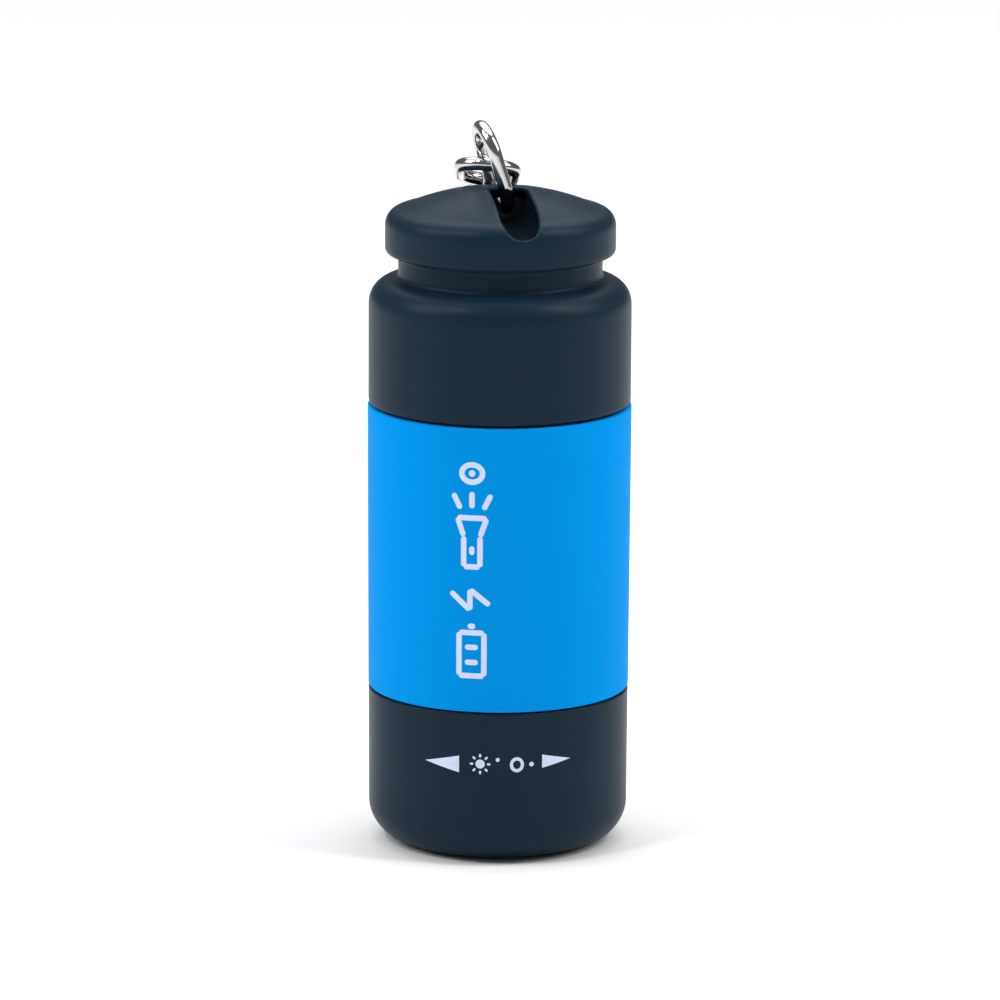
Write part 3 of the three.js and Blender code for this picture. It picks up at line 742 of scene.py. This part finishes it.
phosphor, phosphor_shader, phosphor_place = new_finish("phosphor", Coat_Weight=1.0, Coat_Roughness=0.03)
phosphor_grain = speckle(phosphor_place, 0.25, 3.0)
feed(
    phosphor_shader,
    Base_Color=phosphor_grain.mix((0.84, 0.62, 0.08, 1), (0.92, 0.74, 0.16, 1)),
    Roughness=phosphor_grain * 0.2 + 0.3,
    Normal=relief(phosphor_place, phosphor_grain, 0.004),
)
dressed(white_plastic, "led_board")
low, high = corners("led_base")
piece(
    "led_base_block",
    bar(high[0] - low[0], high[1] - low[1], low[2], high[2], 0.3, 0.12),
    white_plastic,
    "head",
    ["led_base"],
)
bulb_radius, bulb_low, bulb_high = reach("led_dome")
a = np.linspace(-math.pi / 2, 0, 24)
dome_outline = np.concatenate([
    np.stack([bulb_radius * np.cos(a), bulb_high + bulb_radius * np.sin(a)], 1), [(0, bulb_high)]
])
dome_outline[0] = (0, bulb_low)
piece("led_dome_bead", turned(dome_outline, 96), phosphor, "head", ["led_dome"])
SPRING_WIRE = 0.2
SPRING_TURNS = 3
SPRING_WIDE = 2.4
SPRING_NARROW = 1.1
low, high = corners("contact_spring")
t = np.linspace(0, 1, 240)
spring_radius = SPRING_WIDE + (SPRING_NARROW - SPRING_WIDE) * t
a = 2 * math.pi * SPRING_TURNS * t
spring_path = np.stack([
    spring_radius * np.cos(a),
    spring_radius * np.sin(a),
    low[2] + SPRING_WIRE + (high[2] - low[2] - 2 * SPRING_WIRE) * t,
], 1)
piece(
    "contact_spring_wire",
    swept(spring_path, SPRING_WIRE, (0, 0, 1)),
    brass,
    "head",
    ["contact_spring"],
)


# ---------------------------------------------------------------------------------------------
# Reflector, gasket and lens: a bright metallised bowl behind, a thin rubber ring, and a flat clear
# window that is pressed in from the front until it seats on the head's shelf.

mirror = polished("reflector mirror", (0.9, 0.91, 0.92, 1), 0.03, 0.03, 0.8, 0.001)
BOWL_THROAT = 2.7
BOWL_WALL = 0.6
bowl_radius, bowl_low, bowl_high = reach("reflector")
lens_radius, lens_low, lens_high = reach("lens")
bowl_front = lens_radius - 0.6
t = np.linspace(0, 1, 40)
bowl_height = bowl_low + (bowl_high - bowl_low) * t
bowl_face = BOWL_THROAT + (bowl_front - BOWL_THROAT) * np.sqrt(1 - t)
bowl_back = np.minimum(bowl_face + BOWL_WALL * (1 + t), bowl_radius)
piece(
    "reflector_bowl",
    turned(np.concatenate([
        np.stack([bowl_face, bowl_height], 1),
        np.stack([bowl_back, bowl_height], 1)[:0:-1],
        [(bowl_radius, bowl_low + BOWL_WALL), (bowl_radius, bowl_low)],
    ])),
    mirror,
    "head",
    ["reflector"],
)
gasket_radius, gasket_low, gasket_high = reach("lens_gasket")
piece(
    "lens_gasket_ring",
    turned(rounded([
        (gasket_radius - 0.6, gasket_low, 0.12), (gasket_radius, gasket_low, 0.12),
        (gasket_radius, gasket_high, 0.12), (gasket_radius - 0.6, gasket_high, 0.12),
    ])),
    rubber,
    "head",
    ["lens_gasket"],
)
lens_clear, lens_shader, lens_place = new_finish("lens clear", Transmission_Weight=1.0, IOR=1.49)
wipe = speckle(lens_place, 3.0, 4.0)
feed(
    lens_shader,
    Base_Color=wipe.mix((0.97, 0.985, 0.99, 1), (0.93, 0.96, 0.97, 1)),
    Roughness=wipe * 0.05,
    Normal=relief(lens_place, wipe, 0.0006),
)
piece(
    "lens_window",
    turned(rounded([
        (0, lens_low, 0), (lens_radius, lens_low, 0.15), (lens_radius, lens_high, 0.08), (0, lens_high, 0)
    ])),
    lens_clear,
    "head",
    ["lens"],
)


# ---------------------------------------------------------------------------------------------
# Lamp head: a deep cup of the same slate plastic with a large rounded rim, screwed on the lower
# spigot. A shelf inside carries the lens in front and the reflector behind.

head_radius, head_low, head_high = reach("head_bezel")
SCREW_BORE = 10.5
HEAD_FOOT = 11.87
HEAD_BEND = 3.6
LENS_BORE = 7.6
SHELF_BORE = 6.8
REFLECTOR_BORE = 8.9
thread_floor = head_low + 8.4
shelf_low = head_low + 2.5
shelf_high = head_low + 3.0
piece(
    "lamp_head_cup",
    together(
        turned(rounded([
            (LENS_BORE, head_low, 0.12),
            (HEAD_FOOT, head_low, HEAD_BEND),
            (head_radius, head_high, 0.16),
            (SCREW_BORE, head_high, 0.3),
            (SCREW_BORE, thread_floor, 0.2),
            (REFLECTOR_BORE, thread_floor, 0.2),
            (REFLECTOR_BORE, shelf_high, 0.1),
            (SHELF_BORE, shelf_high, 0.1),
            (SHELF_BORE, shelf_low, 0.1),
            (LENS_BORE, shelf_low, 0.1),
        ], 16), 256),
        ridges(SCREW_BORE - RIDGE_PROUD, RIDGE_PROUD, lower_ridge + HALF_PITCH, RIDGE_TURNS, LEAD, 0, -1),
    ),
    dark_plastic,
    "head",
    ["head_bezel"],
)


def arrowhead(tip, back, half_tall, hollow, height, radius):
    """A printed arrowhead as a film between two edges that part at its tip: the half-height grows evenly
    to the back at s = 1, then the edges close in to the hollow of the back's middle at s = 2."""
    s = np.concatenate([np.linspace(0, 1, 12), np.linspace(1, 2, 12)[1:]])
    out = np.where(s < 1, s, 2 - s)
    across = tip + (back - tip) * np.minimum(s, 1) - np.sign(back - tip) * hollow * np.clip(s - 1, 0, 1)
    upper = np.stack([across, height + half_tall * out], 1)
    lower = np.stack([across, height - half_tall * out], 1)
    return inked(upper, lower, radius)


MARK_HEIGHT = 8.85
MARK_WIDTH = 0.3
ring_middle = np.array([1.75, MARK_HEIGHT - 0.05])
glow_middle = np.array([-1.6, MARK_HEIGHT])
rays = [sun_ray(*glow_middle, k * math.pi / 4, 0.62, 0.95) for k in range(8)]
piece(
    "head_print",
    together(
        arrowhead(-6.95, -3.55, 0.78, 0.75, MARK_HEIGHT - 0.1, head_radius - 0.01),
        arrowhead(6.95, 4.1, 0.62, 0.6, MARK_HEIGHT + 0.15, head_radius - 0.01),
        loop(glow_middle, 0.84, 0.84, 0.42, head_radius - 0.01),
        *[stroke(line, 0.2, head_radius - 0.01) for line in rays],
        loop(ring_middle, 1.3, 1.4, MARK_WIDTH, head_radius - 0.01),
        loop(ring_middle + (1.35, 0.0), 0.42, 0.42, 0.21, head_radius - 0.01),
        loop((0.0, MARK_HEIGHT + 0.42), 0.36, 0.36, 0.18, head_radius - 0.01),
    ),
    print_white,
    "head",
)


# ---------------------------------------------------------------------------------------------
# Tail cap: one thick moulding of slate-dark plastic with a rounded shoulder, a neck and a domed
# crown. A round-bottomed slot runs across the crown, and a bridge moulded over it holds the chain.

SHOULDER = 2.28
DOME_BEND = 1.5
DOME_UNDER = 0.5
CROWN_BALL = 22.4
NECK = 9.3
DOME = 10.5
DOME_TALL = 6.05
NECK_TALL = 2.25
SLOT_DEEP = 3.15
CAP_ROOF = 1.15
cap_radius, cap_low, cap_high = reach("tail_cap")
crown_top = cap_high
dome_low = crown_top - DOME_TALL
shoulder_top = dome_low - NECK_TALL
dome_edge = DOME - DOME_BEND
crown_lean = math.asin(dome_edge / CROWN_BALL)
crown_middle = crown_top - CROWN_BALL
dome_edge_top = crown_middle + CROWN_BALL * math.cos(crown_lean)
slot_floor = crown_top - SLOT_DEEP
plug_bore = NECK - 1.7
skirt_bore = NECK - 0.9
lean = np.linspace(crown_lean, 0, 30)
crown = np.stack([CROWN_BALL * np.sin(lean), crown_middle + CROWN_BALL * np.cos(lean)], 1)
bend = np.linspace(0, math.pi / 2 - crown_lean, 12)
dome_corner = np.stack(
    [dome_edge + DOME_BEND * np.cos(bend), dome_edge_top - DOME_BEND + DOME_BEND * np.sin(bend)], 1
)
cap_inside = rounded([
    (0, slot_floor - CAP_ROOF, 0),
    (plug_bore, slot_floor - CAP_ROOF, 0.5),
    (plug_bore, shoulder_top - 1.1, 0.3),
    (skirt_bore, shoulder_top - 1.1, 0.3),
    (skirt_bore, housing_high + 1, 0.3),
    (SCREW_BORE, housing_high + 1, 0.3),
    (SCREW_BORE, cap_low, 0.3),
    (cap_radius, cap_low, 0.2),
    (cap_radius, shoulder_top, SHOULDER),
    (NECK, shoulder_top, 0.12),
    (NECK, dome_low, 0.12),
    (DOME, dome_low, DOME_UNDER),
    (DOME, dome_edge_top - DOME_BEND, 0),
], 10)[:-1]
cap_outline = np.concatenate([cap_inside, dome_corner, crown[1:]])


def drawn(outline, low, high):
    """A flat outline of (x, z) drawn out along Y from low to high, with its ends closed to their
    middles."""
    x, z = np.asarray(outline, float).T
    y = np.array([low, low, high, high])[:, None]
    keep = np.array([0.0, 1.0, 1.0, 0.0])[:, None]
    middle_x, middle_z = x.mean(), z.mean()
    points = np.stack([
        middle_x + keep * (x - middle_x),
        np.broadcast_to(y, (4, len(x))),
        middle_z + keep * (z - middle_z),
    ], -1)
    return points.reshape(-1, 3), net(4, len(x), rows_close=False)


def slot_line(shell):
    """Turns a shape from the cap's middle to the chain slot's own line."""
    (x, y, z), quads = shell[0].T, shell[1]
    c, s = math.cos(SLOT_TURN), math.sin(SLOT_TURN)
    return np.stack([c * x - s * y + SLOT_OFFSET, s * x + c * y, z], 1), quads


SLOT_HALF = 1.75
SLOT_TURN = math.radians(8.5)
SLOT_OFFSET = 0.6
BRIDGE_RADIUS = 1.45
BRIDGE_BACK = 1.65
BRIDGE_RISE = 0.25
# The slot's lining: the cap's own plastic painted darker and less shiny, as painted shade inside the recess.
slot_painted_shade = moulded(
    "slot painted shade", (0.0016, 0.0040, 0.0080, 1), (0.0024, 0.0056, 0.0108, 1), 0.6, 0.1, 0.16, 0.004,
    Specular_IOR_Level=0.01,
)
around = np.linspace(0, -math.pi, 33)
channel_outline = np.concatenate([
    np.stack([SLOT_HALF * np.cos(around), slot_floor + SLOT_HALF + SLOT_HALF * np.sin(around)], 1),
    [(-SLOT_HALF, crown_top + 1), (SLOT_HALF, crown_top + 1)],
])
channel = bare("channel", slot_line(drawn(channel_outline, -14, 14)))
round_bridge = np.linspace(0, 2 * math.pi, 64, endpoint=False)
bridge_outline = np.stack([
    BRIDGE_RADIUS * np.cos(round_bridge), crown_top + BRIDGE_RISE + BRIDGE_RADIUS * np.sin(round_bridge)
], 1)
bar_points, bar_quads = drawn(bridge_outline, -SLOT_HALF - 1, SLOT_HALF + 1)
bar_points = np.stack([bar_points[:, 1], bar_points[:, 0] + BRIDGE_BACK, bar_points[:, 2]], 1)
cut(channel, bare("bridge", slot_line((bar_points, bar_quads))))

cap = piece(
    "tail_cap_moulding",
    turned(cap_outline, 192),
    dark_plastic,
    "cap",
    ["tail_cap"],
)
cut(cap, channel)

# The slot's cut edges are eased as on a moulding: the skin is laid anew in even small faces and smoothed.
FACE_SIZE = 0.205
EASE_PASSES = 4
melt = cap.modifiers.new("melt", "REMESH")
melt.mode = "VOXEL"
melt.voxel_size = FACE_SIZE * MM
ease = cap.modifiers.new("ease", "SMOOTH")
ease.factor = 0.5
ease.iterations = EASE_PASSES
ready = cap.evaluated_get(bpy.context.evaluated_depsgraph_get())
cap.data = bpy.data.meshes.new_from_object(ready)
cap.modifiers.clear()
cap.data.materials.clear()
cap.data.materials.append(dark_plastic)
cap.data.materials.append(slot_painted_shade)

# Faces of the slot's walls and floor, a little inside its edges and the dome's side, take a darker colour:
# painted shade in the recess, not a different plastic.
SLOT_BESIDE = 0.1
SLOT_BELOW = 0.2
RIM_LEFT = 0.35
SIDE_LEFT = 0.25
middles = np.empty(3 * len(cap.data.polygons), np.float32)
cap.data.polygons.foreach_get("center", middles)
middles = middles.reshape(-1, 3) / MM
c, s = math.cos(SLOT_TURN), math.sin(SLOT_TURN)
across_slot = (middles[:, 0] - SLOT_OFFSET) * c + middles[:, 1] * s
top_there = crown_middle + np.sqrt(np.clip(CROWN_BALL**2 - middles[:, 0] ** 2 - middles[:, 1] ** 2, 0, None))
shaded_slot_faces = (abs(across_slot) < SLOT_HALF + SLOT_BESIDE) & (middles[:, 2] > slot_floor - SLOT_BELOW)
shaded_slot_faces &= middles[:, 2] < top_there - RIM_LEFT
shaded_slot_faces &= np.hypot(middles[:, 0], middles[:, 1]) < DOME - SIDE_LEFT
cap.data.polygons.foreach_set("material_index", shaded_slot_faces.astype(np.int32))
cap.data.shade_smooth()
piece(
    "tail_cap_thread",
    ridges(SCREW_BORE - RIDGE_PROUD, RIDGE_PROUD, upper_ridge + HALF_PITCH, RIDGE_TURNS, LEAD, 0, -1),
    dark_plastic,
    "cap",
)


# ---------------------------------------------------------------------------------------------
# Chain links: chrome-plated steel wire, butt-welded into ovals. The first goes round the bridge,
# and each of the others round the one before it.

chrome = polished("chain chrome", (0.6, 0.58, 0.58, 1), 0.1, 0.05, 1.2, 0.0008)
LINK_WIRE = 0.625
LINK_BEND = 2.475
LINK_STRAIGHT = 2.8


def link_path(count=96):
    """An oval in the YZ plane: a half circle below the origin and one above, LINK_STRAIGHT apart."""
    a = np.linspace(0, 2 * math.pi, count, endpoint=False) + math.pi / count
    rise = np.where(np.sin(a) > 0, LINK_STRAIGHT, 0.0)
    return np.stack([0 * a, LINK_BEND * np.cos(a), LINK_BEND * np.sin(a) + rise], 1)


def turn(axis, angle):
    """The matrix of a turn about X, Y or Z."""
    c, s = math.cos(angle), math.sin(angle)
    turns = {
        "X": [[1, 0, 0], [0, c, -s], [0, s, c]],
        "Y": [[c, 0, s], [0, 1, 0], [-s, 0, c]],
        "Z": [[c, -s, 0], [s, c, 0], [0, 0, 1]],
    }
    return np.array(turns[axis])


LINK_1_ROLL = math.radians(-17)
LINK_1_TURN = math.radians(15)
LINK_1_SIDE = -0.66
LINK_2_CLIMB = 0.95
LINK_2_HOOK = 0.9
LINK_2_FALL = math.radians(20)
LINK_2_TILT = math.radians(6)
LINK_3_SLACK = 1.1
LINK_3_SIDE = 0.35
LINK_3_FALL = math.radians(30)
frame_1 = turn("Z", LINK_1_TURN) @ turn("Y", LINK_1_ROLL)
bridge_axis = turn("Z", SLOT_TURN) @ (LINK_1_SIDE, BRIDGE_BACK, 0) + (SLOT_OFFSET, 0, crown_top + BRIDGE_RISE)
strand = frame_1 @ (0, LINK_BEND, LINK_2_CLIMB) + bridge_axis
frame_2 = turn("Y", LINK_2_TILT) @ turn("X", -math.pi / 2 - LINK_2_FALL) @ turn("Z", math.pi / 2)
near_2 = strand + LINK_2_HOOK * np.array([0, math.cos(LINK_2_FALL), -math.sin(LINK_2_FALL)])
far_2 = frame_2 @ (0, 0, LINK_STRAIGHT + LINK_BEND) + near_2
frame_3 = turn("X", -math.pi / 2 - LINK_3_FALL)
lift_3 = np.array([0, math.sin(LINK_3_FALL), math.cos(LINK_3_FALL)])
near_3 = far_2 + LINK_3_SLACK * lift_3 + (LINK_3_SIDE, 0, 0)
for number, (lay, middle) in enumerate([(frame_1, bridge_axis), (frame_2, near_2), (frame_3, near_3)], 1):
    points, quads = swept(link_path(), LINK_WIRE, (1, 0, 0), 24, closed=True)
    piece(
        f"chain_link_{number}_wire",
        (points @ lay.T + middle, quads),
        chrome,
        f"link_{number}",
        [f"chain_link_{number}"],
    )


# ---------------------------------------------------------------------------------------------
# Split ring: spring wire coiled twice and plated. The turns lie side by side, and the wire steps
# across once so that its two ends sit against the other turn.

RING_WIRE = 0.47
RING_RADIUS = 6.9
RING_PITCH = 1.12
RING_SLACK = 0.82
RING_DROP = 0.42
RING_TILT = math.radians(2.5)
RING_STEP = math.pi
a = -RING_STEP / 2 + 4 * math.pi * 0.985 * np.linspace(0, 1, 300)
step = np.clip((a - 2 * math.pi + RING_STEP) / RING_STEP, 0, 1)
over = step * step * (3 - 2 * step)
coil = np.stack([RING_RADIUS * np.sin(a), RING_PITCH * (over - 0.5), RING_RADIUS * np.cos(a)], 1)
coil = coil @ turn("Y", math.pi).T - (0, 0, RING_RADIUS)
ring_top = frame_3 @ (0, RING_DROP, LINK_STRAIGHT + RING_SLACK) + near_3
points, quads = swept(coil, RING_WIRE, (0, 1, 0), 20)
piece(
    "split_ring_coil",
    (points @ turn("X", RING_TILT).T + ring_top, quads),
    chrome,
    "key_ring",
    ["split_ring"],
)


# ---------------------------------------------------------------------------------------------
# Stage: a plain pale table top, soft light from both sides and above, and the camera in front,
# looking a little down on the light.

floor_low = cad_box[0][2]
floor_mesh = bpy.data.meshes.new("table_top")
half = 3.0
floor_mesh.from_pydata(
    [(-half, -half, floor_low), (half, -half, floor_low), (half, half, floor_low), (-half, half, floor_low)],
    [], [(0, 1, 2, 3)],
)
table_top = bpy.data.objects.new("table_top", floor_mesh)
bpy.context.scene.collection.objects.link(table_top)
pale, pale_shader, pale_place = new_finish("pale table", Roughness=0.6)
feed(pale_shader, Base_Color=speckle(pale_place, 200.0).mix((0.9, 0.9, 0.9, 1), (0.92, 0.92, 0.92, 1)))
floor_mesh.materials.append(pale)

world = bpy.data.worlds.new("studio")
bpy.context.scene.world = world
world.use_nodes = True
world.node_tree.nodes["Background"].inputs["Color"].default_value = (1, 1, 1, 1)
world.node_tree.nodes["Background"].inputs["Strength"].default_value = 0.16
bpy.context.scene.view_settings.view_transform = "Standard"


def soft_box(name, side, lift, distance, size, power):
    """A square area light round the body, its side and lift in degrees from the front, facing it."""
    light = bpy.data.lights.new(name, "AREA")
    light.size = size
    light.energy = power
    lamp = bpy.data.objects.new(name, light)
    a, e = math.radians(side), math.radians(lift)
    way = Vector((math.sin(a) * math.cos(e), -math.cos(a) * math.cos(e), math.sin(e)))
    lamp.location = Vector((0, 0, 0.03)) + distance * way
    lamp.rotation_euler = way.to_track_quat("Z", "Y").to_euler()
    bpy.context.scene.collection.objects.link(lamp)


soft_box("left box", -80, 36, 0.8, 0.4, 2.7)
soft_box("right box", 84, 36, 0.8, 0.4, 2.5)
soft_box("left highlight", -50, 54, 0.7, 0.08, 1.1)
soft_box("right highlight", 72, 54, 0.7, 0.08, 1.1)
overhead = bpy.data.lights.new("overhead", "SUN")
overhead.energy = 2.2
overhead.angle = math.radians(75)
overhead_lamp = bpy.data.objects.new("overhead", overhead)
overhead_lamp.rotation_euler = (math.radians(-24), 0, 0)
bpy.context.scene.collection.objects.link(overhead_lamp)

camera = bpy.data.objects.new("camera", bpy.data.cameras.new("camera"))
bpy.context.scene.collection.objects.link(camera)
bpy.context.scene.camera = camera
CAMERA_DISTANCE = 0.62
CAMERA_LIFT = math.radians(12.3)
CAMERA_ROLL = math.radians(0.31)
VIEW_SCALE = 10.92
aim = Vector((0.00008, 0, 0.03076))
camera.location = aim + CAMERA_DISTANCE * Vector((0, -math.cos(CAMERA_LIFT), math.sin(CAMERA_LIFT)))
tipped = Matrix.Rotation(math.pi / 2 - CAMERA_LIFT, 3, "X") @ Matrix.Rotation(CAMERA_ROLL, 3, "Z")
camera.rotation_euler = tipped.to_euler()
camera.data.sensor_width = 36
camera.data.lens = 36 * VIEW_SCALE * CAMERA_DISTANCE
camera.data.clip_start = 0.01
